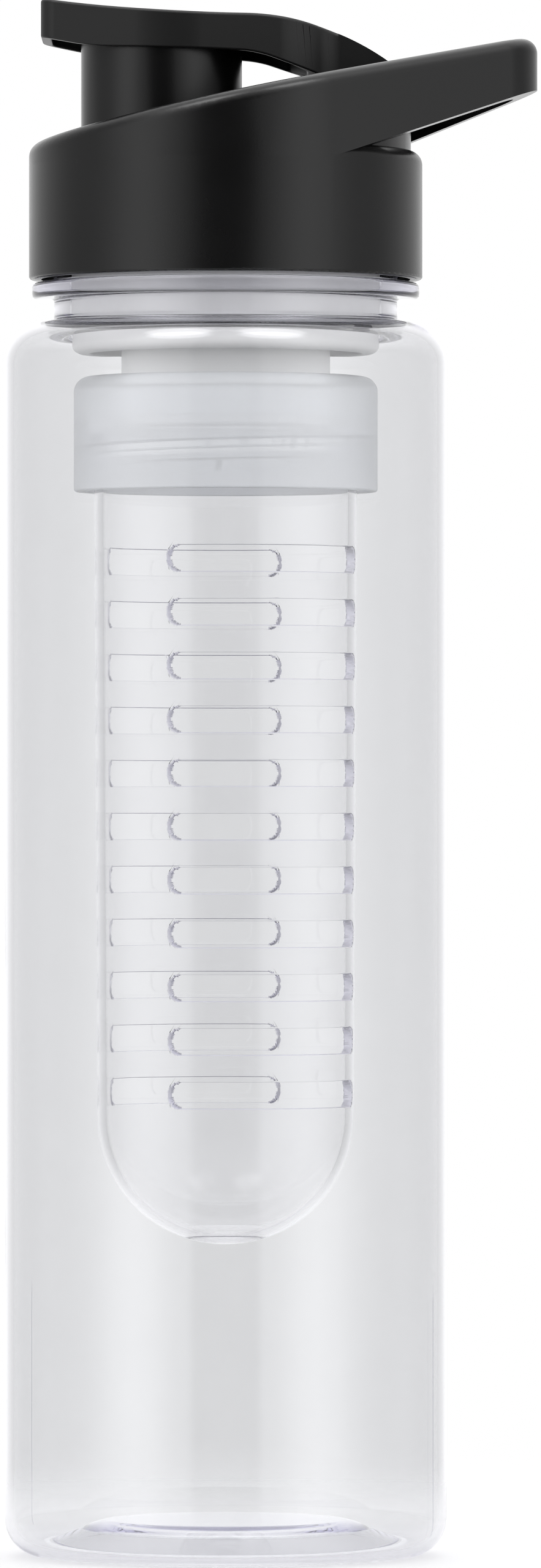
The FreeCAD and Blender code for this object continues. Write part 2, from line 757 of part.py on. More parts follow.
def lid_outside():
    """The lid's outer form: its plan cut to its side view."""
    plan, plan_arcs = lid_plan("0", [("hinge_x + knuckle_round", "strap_half"), ("strap_x", "strap_half")])
    flat = plate("lid_flat", plan, plan_arcs, "hinge_z - knuckle_round", "nose_top + " + PAST)
    back = ("saddle_x", "back_centre_z", "back_round")
    saddle = ("saddle_x", "saddle_centre_z", "lid_saddle_round")
    side = slab("lid_side", [
        ("lid_tip", "front_z"),
        ("bend_x", "bend_z"),
        ("strap_x", "strap_z"),
        ("hinge_x", "hinge_z"),
        arc_point(*back, "90 deg - back_turn"),
        ("saddle_x", "lid_top"),
        ("lid_tip", "nose_top"),
    ], {
        4: bend(*back, "90 deg - back_turn / 2"),
        5: bend(*saddle, "-90 deg - saddle_turn / 2"),
    }, "head_r + lid_waist_half")
    return combine("Part::Common", "lid_solid", flat, side)


def lid_inside():
    """The hollow under the lid, with the seat of the spout's seal left standing in its roof."""
    plan, plan_arcs = lid_plan("lid_wall", [("core_end", "strap_half - lid_wall")])
    bottom = "hinge_z - knuckle_round - " + PAST
    back = ("saddle_x", "back_centre_z", "back_round - lid_roof")
    saddle = ("saddle_x", "saddle_centre_z", "lid_saddle_round + lid_roof")
    side = slab("lid_core_side", [
        ("lid_tip", bottom),
        ("core_end", bottom),
        arc_point(*back, "90 deg - core_turn"),
        ("saddle_x", "seat_z"),
        arc_point(*saddle, "-90 deg - roof_turn"),
    ], {
        2: bend(*back, "90 deg - core_turn / 2"),
        3: bend(*saddle, "-90 deg - roof_turn / 2"),
    }, "head_r + lid_waist_half")
    core = combine("Part::Common", "lid_core",
                   plate("lid_core_flat", plan, plan_arcs, bottom, "nose_top"), side)
    return combine("Part::Cut", "lid_hollow", core,
                   post("seal_seat", "seal_r", "seat_z", "nose_top + " + PAST, "spout_x"))


def make_lid():
    """Black flip lid: a hollow saddle-topped cover, a strap and a knuckle on the hinge pin."""
    shell = combine("Part::Cut", "lid_shell", lid_outside(), lid_inside())
    jointed = combine("Part::Fuse", "lid_jointed", shell, rod("knuckle", "knuckle_round", "strap_half"))
    bore = rod("knuckle_hole", "pin_r + pin_play", "strap_half + " + PAST)
    return combine("Part::Cut", "flip_lid", jointed, bore)


def make_seal():
    """Silicone seal under the lid: a flat flange over the spout's rim and a tapered plug."""
    seal = lathe("spout_seal", [
        ("seal_tip_r - seal_plug_wall", "seal_tip_z"),
        ("seal_tip_r", "seal_tip_z"),
        ("seal_plug_r", "spout_top"),
        ("seal_plug_r", "seal_z"),
        ("seal_r", "seal_z"),
        ("seal_r", "seat_z"),
        ("seal_tip_r - seal_plug_wall", "seat_z"),
    ])
    seal.setExpression("Placement.Base.x", bound("spout_x"))
    return seal


def make_parts():
    """Every piece of the bottle, in the order in which it is put together."""
    return [
        make_bottle(),
        make_ring("rim_gasket", "bore_r", "gasket_r", "rim_z", "holder_z"),
        make_holder(),
        make_collar(),
        make_basket(),
        make_ring("cap_gasket", "gasket_in_r", "gasket_r", "holder_top", "deck_under"),
        make_cap(),
        make_lid(),
        rod("hinge_pin", "pin_r", "ear_half"),
        make_seal(),
    ]


def check_parts(parts):
    """Stop if any object failed or any piece isn't one sound solid."""
    for item in doc.Objects:
        if "Invalid" in item.State or "Error" in item.State:
            raise RuntimeError("%s failed: %s" % (item.Label, item.State))
    for piece in parts:
        shape = piece.Shape
        if shape.isNull() or not shape.isValid() or len(shape.Solids) != 1:
            raise RuntimeError("%s isn't one sound solid" % piece.Label)


fill_sheet()
pieces = make_parts()
doc.recompute()
check_parts(pieces)
os.makedirs("parts", exist_ok=True)
for piece in pieces:
    piece.Shape.exportStep("parts/%s.step" % piece.Label)
    box = piece.Shape.BoundBox
    print("%-16s %9.1f mm3  z %.1f to %.1f" % (piece.Label, piece.Shape.Volume, box.ZMin, box.ZMax))
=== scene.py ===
import math

import bmesh
import bpy
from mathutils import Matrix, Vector


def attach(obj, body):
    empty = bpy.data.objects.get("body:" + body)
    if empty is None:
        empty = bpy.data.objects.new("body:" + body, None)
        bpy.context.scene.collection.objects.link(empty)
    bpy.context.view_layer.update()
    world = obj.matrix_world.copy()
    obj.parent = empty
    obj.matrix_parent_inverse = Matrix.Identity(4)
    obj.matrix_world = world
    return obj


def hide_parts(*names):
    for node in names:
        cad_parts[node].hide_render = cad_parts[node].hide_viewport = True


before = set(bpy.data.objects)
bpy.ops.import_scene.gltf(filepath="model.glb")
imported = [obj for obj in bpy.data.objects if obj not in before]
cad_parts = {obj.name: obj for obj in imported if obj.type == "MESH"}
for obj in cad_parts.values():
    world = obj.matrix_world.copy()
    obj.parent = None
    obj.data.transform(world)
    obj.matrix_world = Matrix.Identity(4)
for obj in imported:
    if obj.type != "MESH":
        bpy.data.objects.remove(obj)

# Fruit infuser water bottle. Its axis is Z, it stands on Z = 0 and its carry loop points along +X.
# Sizes and places of the pieces are in millimetres and become metres in the mesh. R is a radius.
MM = 0.001
FULL_TURN = 2 * math.pi
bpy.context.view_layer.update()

# Points closer than SAME_PLACE are at the same place. The other distances are those at which points are
# merged: anywhere, where the arcs of a slot's end meet, and where the slots are cut.
SAME_PLACE = 0.02
DOUBLED = 0.002
SLOT_DOUBLED = 0.05
CUT_DOUBLED = 0.01

# How finely round forms are stepped. A rounding of LARGE_ROUND or more takes the larger number of steps.
WALL_STEPS = 160
RIDGE_STEPS = 96
SMALL_ROUND_STEPS = 3
LARGE_ROUND_STEPS = 12
LARGE_ROUND = 1.5
SLOT_EASE_STEPS = 3
RIM_EASE_STEPS = 4

# Bottle
BODY_R = 36.5
BODY_WALL = 1.5
FOOT_R = 27.7
FOOT_ROUND = 6.2
PUNT_R = 21.3
PUNT_Z = 4.0
PUNT_WALL = 2.0
PUNT_ROUND = 8.0
SHOULDER_Z = 203.8
SHOULDER_ROUND = 7.0
NECK_R = 28.4
NECK_BORE_R = 25.75
NECK_TOP = 225.4
FLANGE_R = 32.05
FLANGE_LOW = 207.5
FLANGE_HIGH = 210.2

# Holder: its flange, its cup in the neck and its tube
HOLDER_TOP = 227.9
HOLDER_FLANGE_R = 28.2
HOLDER_FLANGE_LOW = 226.4
CUP_R = 25.45
CUP_BORE_R = 23.85
CUP_FLOOR = 203.1
CUP_UNDERSIDE = 201.5
LIP_BORE_R = 22.4
LIP_LOW = 198.7
TUBE_R = 17.25
TUBE_BORE_R = 15.65
TUBE_LOW = 186.4

# Collar: its nut for the basket and its sleeve on the holder's tube
COLLAR_R = 25.1
COLLAR_TOP = 194.7
COLLAR_ROOF = 192.7
COLLAR_LOW = 175.7
NUT_BORE_R = 23.6
SLEEVE_R = 18.88
SLEEVE_BORE_R = 17.33
SLEEVE_LOW = 188.0

# Basket: a drafted wall over a dome, whose arcs run from or to a number of degrees below the level
BASKET_R = 21.2
BASKET_DRAFT = 0.6
BASKET_WALL = 1.5
BASKET_TOP = 185.8
DOME_Z = 72.59
DOME_END = 51.4
DOME_TURN = 88.0
DOME_STEPS = 26
DOME_FLOOR = 53.85
DOME_FLOOR_R = 6.09
INNER_TURN = 72.0
INNER_STEPS = 20

# Screw ridges, all with the same number of turns. The basket's stands on a wall that is drafted.
RIDGE_TURNS = 1.5
RIDGE_ROUND = 0.2
RIDGE_WALL_R = 21.65
NECK_RIDGE = dict(tip_r=29.9, sunk_r=27.74, middle=215.8, root=2.2, crest=1.2, lead=4.5, facing=0.0)
COLLAR_RIDGE = dict(tip_r=22.3, sunk_r=23.98, middle=180.4, root=1.8, crest=1.0, lead=4.0, facing=23.5)
BASKET_RIDGE = dict(tip_r=23.1, sunk_r=21.05, middle=178.4, root=1.8, crest=1.0, lead=4.0, facing=23.5)

# Slots: rows of one slot in front and one behind.
# SLOT_HALF is half a slot's length at SLOT_DEPTH from the axis.
SLOT_TURN = 26.72
SLOT_ROWS = 11
SLOT_PITCH = 8.79
SLOT_TOP = 166.5
SLOT_HEIGHT = 4.3
SLOT_HALF = 11.62
SLOT_DEPTH = 8.92
SLOT_INSIDE = 8.0
SLOT_OUTSIDE = 40.0
SLOT_EASE = 0.25
SLOT_END_GAP = 0.005

# The wall's rings: how far they are from the slots, and the height of one under the ridge
RING_GAP = 0.75
RIDGE_FOOT = 176.8

# Silicone rings: the bore and top of the one under the cap's deck, and the eased edges of both
DECK_RING_R = 25.0
DECK_RING_TOP = 229.4
GASKET_ROUND = 0.3

# Lid: its plan from nose to strap, its heights and its hinge
SPOUT_X = -10.6
NOSE_X = -30.4
NOSE_R = 3.2
NOSE_FLARE = 0.292
CROWN_X = -9.5
CROWN_HALF = 16.0
CROWN_R = 24.0
FLANK_INSET = 1.045
STRAP_HALF = 7.5
STRAP_END = 30.0
LID_TOP = 254.05
LID_ROOF = 1.85
LID_WALL = 1.7
LID_TIP = -31.4
HOLLOW_END = 13.4
SEAT_R = 12.6
SEAT_LOW = 252.2
SADDLE_X = 3.0
SADDLE_R = 210.0
HINGE = (25.0, 241.305)
KNUCKLE_R = 5.2
KNUCKLE_GAP = 0.05
KNUCKLE_BORE_R = 1.58

# The lid's eased rim, which ends before the hinge, and how far its wall and its face may tilt
EASED_TO = 19.0
EASE_TOP = 0.6
EASE_LOW = 0.35
WALL_TILT = 0.2
FACE_TILT = 0.35

# Heights and half widths of the forms that are cut to the lid, which reach past it
BLANK_LOW = 236.0
BLANK_TOP = 258.0
HOLLOW_TOP = 257.0
ROOF_LOW = 230.0
SEAT_TOP = 259.0
SIDE_HALF = 30.0
BORE_HALF = 20.0


# Modelling by hand

def metres(x, y, z):
    return (x * MM, y * MM, z * MM)


def pick(kind, wanted):
    """Select the wanted points or edges of the open mesh."""
    bpy.ops.mesh.select_mode(type=kind)
    bpy.ops.mesh.select_all(action="DESELECT")
    mesh = bmesh.from_edit_mesh(bpy.context.object.data)
    for part in mesh.verts if kind == "VERT" else mesh.edges:
        part.select_set(wanted(part))
    mesh.select_flush_mode()
    bmesh.update_edit_mesh(bpy.context.object.data)


def pick_all():
    bpy.ops.mesh.select_all(action="SELECT")


def shift(x, y, z):
    """Move what is selected in the open mesh."""
    bpy.ops.transform.translate(value=metres(x, y, z))


def extrude(x, y, z):
    """Extrude what is selected in the open mesh."""
    bpy.ops.mesh.extrude_region_move(TRANSFORM_OT_translate={"value": metres(x, y, z)})


def widen(share):
    """Stretch what is selected in the open mesh along X."""
    bpy.ops.transform.resize(value=(share, 1, 1), center_override=(0, 0, 0))


def turn_about_axis(degrees):
    """Turn the open mesh about Z, counter-clockwise seen from above."""
    pick_all()
    bpy.ops.transform.rotate(value=-math.radians(degrees), orient_axis="Z", center_override=(0, 0, 0))


def bevel_edges(radius, steps):
    """Round the selected edges of the open mesh."""
    bpy.ops.mesh.bevel(offset=radius * MM, segments=steps, affect="EDGES", offset_type="OFFSET")


def merge_points(distance):
    """Merge the points of the open mesh that are closer than a distance."""
    pick_all()
    bpy.ops.mesh.remove_doubles(threshold=distance * MM)


def tidy_mesh():
    """Merge doubled points of the open mesh and turn its faces outwards."""
    merge_points(DOUBLED)
    bpy.ops.mesh.normals_make_consistent(inside=False)


def open_edit():
    bpy.ops.object.mode_set(mode="EDIT")


def close_edit():
    bpy.ops.object.mode_set(mode="OBJECT")


def draw_section(name, corners, upright=True):
    """A new piece that is the face of a section, left open for editing.

    An upright section lies in the XZ plane and a plan in the XY plane.
    A corner is its two distances and its rounding.
    """
    def on_plane(a, b):
        return (a, 0, b) if upright else (a, b, 0)

    bpy.ops.object.select_all(action="DESELECT")
    bpy.ops.mesh.primitive_plane_add(size=MM)
    piece = bpy.context.object
    piece.name = name
    piece.data.name = name
    open_edit()
    bpy.ops.mesh.select_mode(type="VERT")
    pick_all()
    bpy.ops.mesh.merge(type="CENTER")
    shift(*on_plane(*corners[0][:2]))
    for here, there in zip(corners, corners[1:]):
        extrude(*on_plane(there[0] - here[0], there[1] - here[1]))
    pick_all()
    bpy.ops.mesh.edge_face_add()
    for i, corner in enumerate(corners):
        if corner[2] > 0:
            round_corner(corners[i - 1], corner, corners[(i + 1) % len(corners)], upright)
    return piece


def round_corner(before, corner, after, upright):
    """Round one corner of the open section."""
    def is_corner(point):
        place = point.co / MM
        return (Vector((place.x, place.z if upright else place.y)) - here).length < SAME_PLACE

    here = Vector(corner[:2])
    opening = (Vector(before[:2]) - here).angle(Vector(after[:2]) - here)
    reach = corner[2] / math.tan(opening / 2)
    steps = LARGE_ROUND_STEPS if corner[2] >= LARGE_ROUND else SMALL_ROUND_STEPS
    pick("VERT", is_corner)
    bpy.ops.mesh.bevel(offset=reach * MM, segments=steps, affect="VERTICES")


def arc(centre_a, centre_b, radius, first, last, steps):
    """Corners along an arc, its directions in degrees."""
    corners = []
    for i in range(steps + 1):
        direction = math.radians(first + (last - first) * i / steps)
        across = radius * math.cos(direction)
        up = radius * math.sin(direction)
        corners.append((centre_a + across, centre_b + up, 0))
    return corners


def turned_piece(name, corners):
    """A round piece turned about Z from its half section."""
    piece = draw_section(name, corners)
    pick_all()
    bpy.ops.mesh.delete(type="ONLY_FACE")
    pick("EDGE", lambda edge: all(abs(point.co.x) < SAME_PLACE * MM for point in edge.verts))
    bpy.ops.mesh.delete(type="EDGE")
    bpy.ops.mesh.select_mode(type="VERT")
    pick_all()
    bpy.ops.mesh.spin(steps=WALL_STEPS, angle=FULL_TURN, center=(0, 0, 0), axis=(0, 0, 1))
    tidy_mesh()
    close_edit()
    return piece


def thickened(piece, start, reach):
    """Move a piece's open section to its start, extrude it and close it."""
    pick_all()
    shift(*start)
    extrude(*reach)
    tidy_mesh()
    close_edit()
    return piece


def raised_plan(name, corners, low, high):
    """A plan outline raised between two heights."""
    plan = draw_section(name, corners, upright=False)
    return thickened(plan, (0, 0, low), (0, 0, high - low))


def spread_side(name, corners, half_width):
    """A side outline spread to both sides of the XZ plane."""
    side = draw_section(name, corners)
    return thickened(side, (0, -half_width, 0), (0, 2 * half_width, 0))


def choose(piece):
    """Make a piece the only selected one."""
    bpy.ops.object.select_all(action="DESELECT")
    piece.select_set(True)
    bpy.context.view_layer.objects.active = piece


def apply_modifier(piece, modifier):
    choose(piece)
    bpy.ops.object.modifier_apply(modifier=modifier.name)


def carve(piece, tool, operation):
    """Join a tool to a piece, or cut it out of it, and take the tool away."""
    cut = piece.modifiers.new("carving", "BOOLEAN")
    cut.operation = operation
    cut.solver = "EXACT"
    cut.material_mode = "TRANSFER"
    cut.object = tool
    apply_modifier(piece, cut)
    bpy.data.objects.remove(tool)


def smooth_piece(piece, sharp_angle=40):
    """Smooth shading that keeps large faces flat up to their rounded edges."""
    choose(piece)
    bpy.ops.object.shade_smooth_by_angle(angle=math.radians(sharp_angle))
    weighted = piece.modifiers.new("even_shading", "WEIGHTED_NORMAL")
    weighted.keep_sharp = True
    apply_modifier(piece, weighted)


def wound_ridge(name, wall_r, tip_r, sunk_r, middle, root, crest, lead, facing):
    """A right-hand screw ridge: its section, sunk into the wall, wound up about Z."""
    ridge = draw_section(name, [
        (sunk_r, middle - root / 2, 0),
        (wall_r, middle - root / 2, 0),
        (tip_r, middle - crest / 2, RIDGE_ROUND),
        (tip_r, middle + crest / 2, RIDGE_ROUND),
        (wall_r, middle + root / 2, 0),
        (sunk_r, middle + root / 2, 0),
    ])
    pick_all()
    bpy.ops.mesh.delete(type="ONLY_FACE")
    close_edit()
    winding = ridge.modifiers.new("winding", "SCREW")
    winding.axis = "Z"
    winding.angle = RIDGE_TURNS * FULL_TURN
    winding.screw_offset = RIDGE_TURNS * lead * MM
    winding.steps = winding.render_steps = int(RIDGE_TURNS * RIDGE_STEPS)
    apply_modifier(ridge, winding)
    open_edit()
    bpy.ops.mesh.select_mode(type="EDGE")
    bpy.ops.mesh.select_all(action="DESELECT")
    bpy.ops.mesh.select_non_manifold()
    bpy.ops.mesh.fill_holes(sides=0)
    turn_about_axis(facing)
    tidy_mesh()
    close_edit()
    return ridge


def dress(piece, body, node, material=None):
    """Hang a piece on its body in place of a CAD node."""
    if material:
        piece.data.materials.clear()
        piece.data.materials.append(material)
    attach(piece, body)
    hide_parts(node)


# Bottle and holder

def make_bottle():
    """Clear bottle: foot ring round a punt, straight wall, round shoulder, flange and screw neck."""
    inner_r = BODY_R - BODY_WALL
    ceiling = SHOULDER_Z - BODY_WALL
    bottle = turned_piece("clear_bottle", [
        (0, PUNT_Z, 0),
        (PUNT_R, PUNT_Z, PUNT_ROUND),
        (FOOT_R, 0, 0.8),
        (BODY_R, 0, FOOT_ROUND),
        (BODY_R, SHOULDER_Z, SHOULDER_ROUND),
        (NECK_R, SHOULDER_Z, 0.9),
        (NECK_R, FLANGE_LOW, 0.5),
        (FLANGE_R, FLANGE_LOW, 0.8),
        (FLANGE_R, FLANGE_HIGH, 0.8),
        (NECK_R, FLANGE_HIGH, 0.4),
        (NECK_R, NECK_TOP, 0.6),
        (NECK_BORE_R, NECK_TOP, 0.6),
        (NECK_BORE_R, ceiling, 1.6),
        (inner_r, ceiling, SHOULDER_ROUND - BODY_WALL),
        (inner_r, BODY_WALL, FOOT_ROUND - BODY_WALL),
        (FOOT_R + BODY_WALL, BODY_WALL, 0.6),
        (PUNT_R, PUNT_Z + PUNT_WALL, PUNT_ROUND),
        (0, PUNT_Z + PUNT_WALL, 0),
    ])
    ridge = wound_ridge("neck_ridge", NECK_R, **NECK_RIDGE)
    carve(bottle, ridge, "UNION")
    smooth_piece(bottle)
    return bottle


def make_holder():
    """White holder: a flange over the mouth, a cup in the neck and a tube for the collar."""
    holder = turned_piece("white_holder", [
        (CUP_BORE_R, HOLDER_TOP, 0.4),
        (CUP_BORE_R, CUP_FLOOR, 1.2),
        (TUBE_BORE_R, CUP_FLOOR, 0.6),
        (TUBE_BORE_R, TUBE_LOW, 0.3),
        (TUBE_R, TUBE_LOW, 0.3),
        (TUBE_R, CUP_UNDERSIDE, 0.8),
        (LIP_BORE_R, CUP_UNDERSIDE, 0.6),
        (LIP_BORE_R, LIP_LOW, 0.5),
        (CUP_R, LIP_LOW, 2.0),
        (CUP_R, HOLDER_FLANGE_LOW, 0.3),
        (HOLDER_FLANGE_R, HOLDER_FLANGE_LOW, 0.25),
        (HOLDER_FLANGE_R, HOLDER_TOP, 0.4),
    ])
    smooth_piece(holder)
    return holder


def make_gasket(name, inner, outer, bottom, top):
    """A flat silicone ring with eased edges."""
    gasket = turned_piece(name, [
        (inner, bottom, GASKET_ROUND),
        (outer, bottom, GASKET_ROUND),
        (outer, top, GASKET_ROUND),
        (inner, top, GASKET_ROUND),
    ])
    smooth_piece(gasket)
    return gasket


# Collar and basket

def make_collar():
    """Frosted collar: a sleeve on the holder's tube and a nut for the basket."""
    collar = turned_piece("frosted_collar", [
        (SLEEVE_BORE_R, SLEEVE_LOW, 0.3),
        (SLEEVE_R, SLEEVE_LOW, 0.3),
        (SLEEVE_R, COLLAR_ROOF, 0.4),
        (NUT_BORE_R, COLLAR_ROOF, 0.8),
        (NUT_BORE_R, COLLAR_LOW, 0.3),
        (COLLAR_R, COLLAR_LOW, 0.4),
        (COLLAR_R, COLLAR_TOP, 2.5),
        (SLEEVE_BORE_R, COLLAR_TOP, 0.3),
    ])
    ridge = wound_ridge("collar_ridge", NUT_BORE_R, **COLLAR_RIDGE)
    carve(collar, ridge, "UNION")
    smooth_piece(collar)
    return collar


def make_basket(clear, cut_edge):
    """Clear basket: a tall cup with a domed end, rows of slots and a screw rim."""
    rim_r = BASKET_R + BASKET_DRAFT
    rings = wall_rings()
    corners = [(0, DOME_END, 0)]
    corners += arc(0, DOME_Z, BASKET_R, -DOME_TURN, 0, DOME_STEPS)
    corners += [(basket_radius(z), z, 0) for z in rings]
    corners += [(rim_r, BASKET_TOP, 0.4), (rim_r - BASKET_WALL, BASKET_TOP, 0.4)]
    corners += [(basket_radius(z) - BASKET_WALL, z, 0) for z in reversed(rings)]
    corners += arc(0, DOME_Z, BASKET_R - BASKET_WALL, 0, -INNER_TURN, INNER_STEPS)[:-1]
    corners += [(DOME_FLOOR_R, DOME_FLOOR, 1.2), (0, DOME_FLOOR, 0)]
    basket = turned_piece("clear_basket", corners)
    basket.data.materials.append(clear)
    ridge = wound_ridge("basket_ridge", RIDGE_WALL_R, **BASKET_RIDGE)
    ridge.data.materials.append(clear)
    carve(basket, ridge, "UNION")
    uncut = basket.copy()
    uncut.data = basket.data.copy()
    bpy.context.scene.collection.objects.link(uncut)
    smooth_piece(uncut, sharp_angle=30)
    tool = slot_tool()
    tool.data.materials.append(cut_edge)
    carve(basket, tool, "DIFFERENCE")
    ease_slots(basket)
    smooth_piece(basket, sharp_angle=30)
    keep_wall_shading(basket, uncut)
    return basket


def basket_radius(z):
    """Outer radius of the basket's drafted wall at a height."""
    return BASKET_R + BASKET_DRAFT * max(0.0, z - DOME_Z) / (BASKET_TOP - DOME_Z)


def wall_rings():
    """Heights of the wall's rings: close under and over each row of slots, and under the ridge."""
    rings = []
    for row in reversed(range(SLOT_ROWS)):
        top = SLOT_TOP - SLOT_PITCH * row
        rings += [top - SLOT_HEIGHT - RING_GAP, top + RING_GAP]
    return rings + [RIDGE_FOOT]


def slot_tool():
    """All rows of slots as one cutting form: a slot that widens outwards, copied down and behind."""
    low = SLOT_TOP - SLOT_HEIGHT
    end_round = SLOT_HEIGHT / 2 - SLOT_END_GAP
    tool = draw_section("slot_tool", [
        (-SLOT_HALF, low, end_round),
        (SLOT_HALF, low, end_round),
        (SLOT_HALF, SLOT_TOP, end_round),
        (-SLOT_HALF, SLOT_TOP, end_round),
    ])
    merge_points(SLOT_DOUBLED)
    shift(0, -SLOT_OUTSIDE, 0)
    widen(SLOT_OUTSIDE / SLOT_DEPTH)
    extrude(0, SLOT_OUTSIDE - SLOT_INSIDE, 0)
    widen(SLOT_INSIDE / SLOT_OUTSIDE)
    pick_all()
    for row in range(SLOT_ROWS - 1):
        bpy.ops.mesh.duplicate_move(TRANSFORM_OT_translate={"value": metres(0, 0, -SLOT_PITCH)})
    pick_all()
    bpy.ops.mesh.duplicate()
    bpy.ops.transform.rotate(value=math.pi, orient_axis="Z", center_override=(0, 0, 0))
    turn_about_axis(SLOT_TURN)
    tidy_mesh()
    close_edit()
    return tool


def ease_slots(basket):
    """Round the edges of the slots, where the wall's finish meets that of the cut faces."""
    def is_slot_edge(edge):
        finishes = [face.material_index for face in edge.link_faces]
        return len(finishes) == 2 and finishes[0] != finishes[1]

    choose(basket)
    open_edit()
    merge_points(CUT_DOUBLED)
    pick("EDGE", is_slot_edge)
    bevel_edges(SLOT_EASE, SLOT_EASE_STEPS)
    close_edit()


def keep_wall_shading(basket, uncut):
    """Give the slotted wall the smooth shading of its uncut form, which is then taken away."""
    wall = basket.vertex_groups.new(name="wall")
    wall.add([point.index for point in basket.data.vertices if is_on_wall(point.co / MM)], 1.0, "REPLACE")
    shading = basket.modifiers.new("wall_shading", "DATA_TRANSFER")
    shading.object = uncut
    shading.use_loop_data = True
    shading.data_types_loops = {"CUSTOM_NORMAL"}
    shading.loop_mapping = "POLYINTERP_NEAREST"
    shading.vertex_group = wall.name
    apply_modifier(basket, shading)
    basket.vertex_groups.clear()
    bpy.data.objects.remove(uncut)


def is_on_wall(place):
    """Whether a place on the basket is clear of the rows of slots, or on its outer or inner wall."""
    lowest_slot = SLOT_TOP - SLOT_HEIGHT - SLOT_PITCH * (SLOT_ROWS - 1)
    depth = basket_radius(place.z) - math.hypot(place.x, place.y)
    clear_of_slots = not lowest_slot - 1 < place.z < SLOT_TOP + 1
    return clear_of_slots or abs(depth) < SAME_PLACE or abs(depth - BASKET_WALL) < SAME_PLACE


# Lid and cap

def lid_plan(inset, tail):
    """Plan of the lid, or of its hollow at an inset: a blunt nose and flanks that widen to a crown."""
    crown = CROWN_HALF - FLANK_INSET * inset
    nose = NOSE_X + inset
    upper = tail + [
        (CROWN_X, crown, CROWN_R - inset),
        (nose, crown - NOSE_FLARE * (CROWN_X - nose), NOSE_R - inset),
    ]
    lower = [(x, -y, r) for x, y, r in reversed(upper)]
    return upper + lower


def back_arc(drop, low_x, steps):
    """Corners of the lid's back, or of the roof at a drop under it, from the hinge up to the saddle."""
    rise = LID_TOP - HINGE[1]
    run = HINGE[0] - SADDLE_X
    radius = (run ** 2 + rise ** 2 - KNUCKLE_R ** 2) / 2 / (rise - KNUCKLE_R)
    last = math.degrees(math.asin((low_x - SADDLE_X) / (radius - drop)))
    return arc(SADDLE_X, LID_TOP - radius, radius - drop, 90 - last, 90, steps)


def saddle_arc(drop, tip, steps):
    """Corners of the lid's hollow top, or of the roof under it, from the saddle to past the nose."""
    radius = SADDLE_R + drop
    last = math.degrees(math.asin((SADDLE_X - tip) / radius))
    return arc(SADDLE_X, LID_TOP + SADDLE_R, radius, -90, -90 - last, steps)[1:]


def cross_rod(name, radius, half_width, steps=64):
    """A round rod across the cap on the hinge's axis."""
    turn = arc(*HINGE, radius, 0, 360 * (steps - 1) / steps, steps - 1)
    return spread_side(name, turn, half_width)


def make_lid():
    """Black flip lid: a hollow saddle-topped cover, a strap and a knuckle on the hinge pin."""
    waist = [(STRAP_END, STRAP_HALF, 0), (17.0, STRAP_HALF, 5.0), (12.5, 11.9, 12.0)]
    lid = raised_plan("flip_lid_shell", lid_plan(0, waist), BLANK_LOW, BLANK_TOP)
    side = spread_side("lid_side", [
        (LID_TIP, 250.5, 0),
        (-22.0, 248.7, 40.0),
        (5.0, 247.8, 16.0),
        (18.4, 243.1, 2.0),
        (*HINGE, 0),
        (29.6, 243.7, 0),
    ] + back_arc(0, 27.6, 24) + saddle_arc(0, LID_TIP, 12), SIDE_HALF)
    carve(lid, side, "INTERSECT")
    carve(lid, lid_hollow(), "DIFFERENCE")
    carve(lid, cross_rod("knuckle", KNUCKLE_R, STRAP_HALF - KNUCKLE_GAP), "UNION")
    carve(lid, cross_rod("knuckle_bore", KNUCKLE_BORE_R, BORE_HALF), "DIFFERENCE")
    ease_rim(lid)
    smooth_piece(lid, sharp_angle=35)
    return lid


def lid_hollow():
    """The room under the lid's roof, round the seat of the spout's seal."""
    inner_waist = [(HOLLOW_END, STRAP_HALF - LID_WALL, 0), (10.6, 10.4, 1.3)]
    hollow = raised_plan("lid_hollow", lid_plan(LID_WALL, inner_waist), BLANK_LOW, HOLLOW_TOP)
    roof = spread_side("lid_roof", [
        (LID_TIP, ROOF_LOW, 0),
        (HOLLOW_END, ROOF_LOW, 0),
    ] + back_arc(LID_ROOF, HOLLOW_END, 12) + saddle_arc(LID_ROOF, LID_TIP, 12), SIDE_HALF)
    carve(hollow, roof, "INTERSECT")
    seat = raised_plan("seal_seat", arc(SPOUT_X, 0, SEAT_R, 0, 354, 59), SEAT_LOW, SEAT_TOP)
    carve(hollow, seat, "DIFFERENCE")
    return hollow


def ease_rim(lid):
    """Round the rim of the lid's top and of its underside."""
    choose(lid)
    for up, radius in ((1, EASE_TOP), (-1, EASE_LOW)):
        open_edit()
        pick("EDGE", lambda edge: is_rim(edge, up))
        bevel_edges(radius, RIM_EASE_STEPS)
        tidy_mesh()
        close_edit()


def is_rim(edge, up):
    """Whether an edge clear of the hinge stands out between a wall and a face that looks up, or down."""
    if len(edge.link_faces) != 2 or not edge.is_convex:
        return False
    if max(point.co.x for point in edge.verts) > EASED_TO * MM:
        return False
    upright, level = sorted(edge.link_faces, key=lambda face: abs(face.normal.z))
    return abs(upright.normal.z) < WALL_TILT and level.normal.z * up > FACE_TILT


def make_cap():
    """Black cap: a merged copy of the CAD node's mesh with smooth shading."""
    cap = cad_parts["screw_cap"].copy()
    cap.data = cap.data.copy()
    cap.name = "screw_cap_shell"
    cap.data.name = "screw_cap_shell"
    for key in list(cap.keys()):
        del cap[key]
    cap.parent = None
    bpy.context.scene.collection.objects.link(cap)
    choose(cap)
    bpy.ops.mesh.customdata_custom_splitnormals_clear()
    open_edit()
    bpy.ops.mesh.select_mode(type="VERT")
    merge_points(DOUBLED)
    close_edit()
    smooth_piece(cap, sharp_angle=30)
    return cap


# Finishes

# Places of the colour sockets on a mix node.
COLOR_A, COLOR_B, COLOR_MIXED = 6, 7, 2

